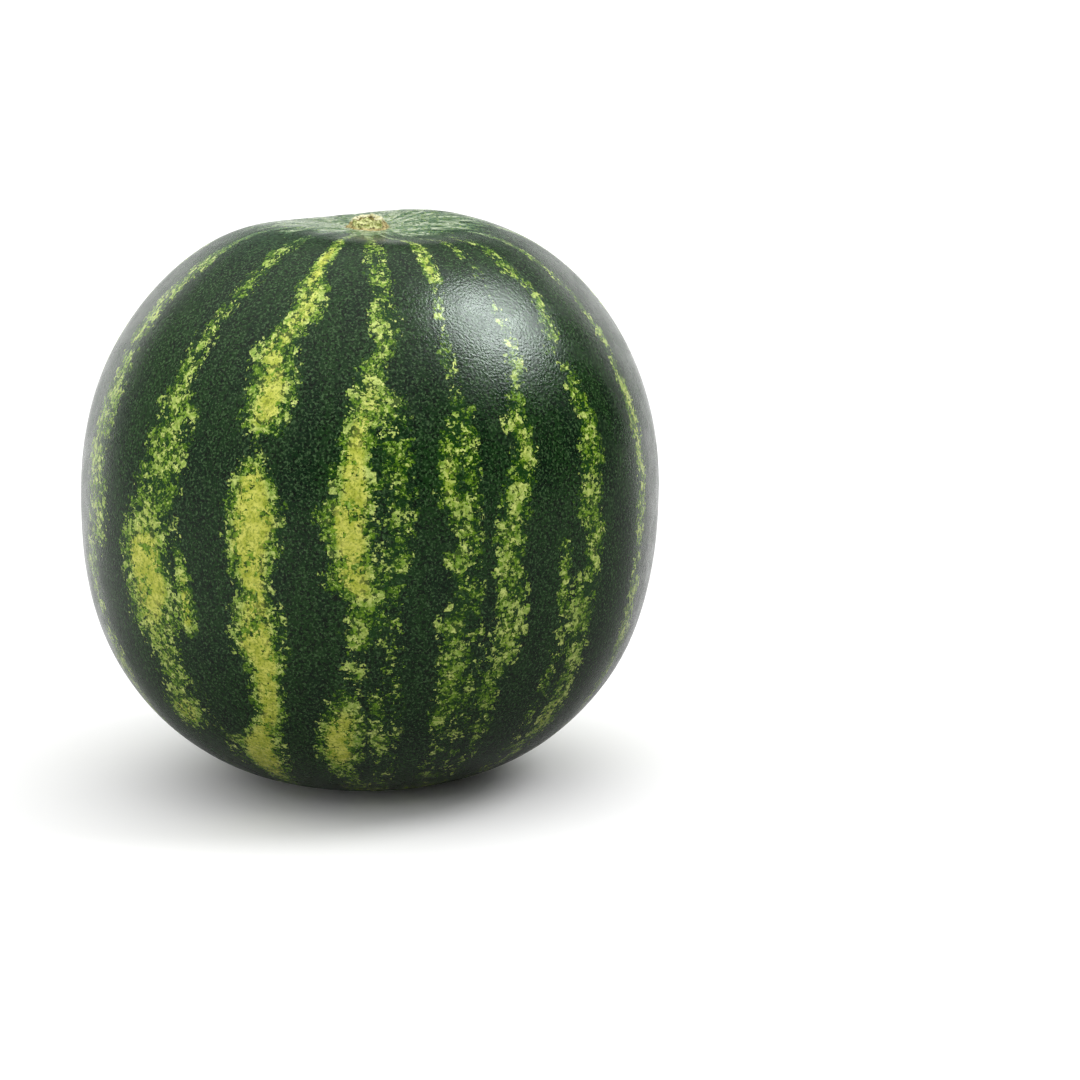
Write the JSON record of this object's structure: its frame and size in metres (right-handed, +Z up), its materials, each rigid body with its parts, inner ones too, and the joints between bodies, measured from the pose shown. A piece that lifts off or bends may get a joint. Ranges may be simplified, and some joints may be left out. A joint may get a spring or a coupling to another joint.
{
  "type": "watermelon",
  "caption": "Whole round striped watermelon with a corky stem scar in a shallow hollow on top, standing on a small flat spot.",
  "frame": {"origin": "centre of the fruit's box, on the plane that it stands on", "axes": "+Z up, from the blossom end to the stem end; -Y is the side shown in the picture that it was made from"},
  "size_m": [0.224, 0.2228, 0.2202],
  "materials": {
    "rind": "smooth waxy rind, half glossy, dark green with ragged yellow-green stripes from pole to pole and a tan corky stem scar"
  },
  "bodies": {
    "root": {"watermelon": "rind"}
  },
  "joints": []
}
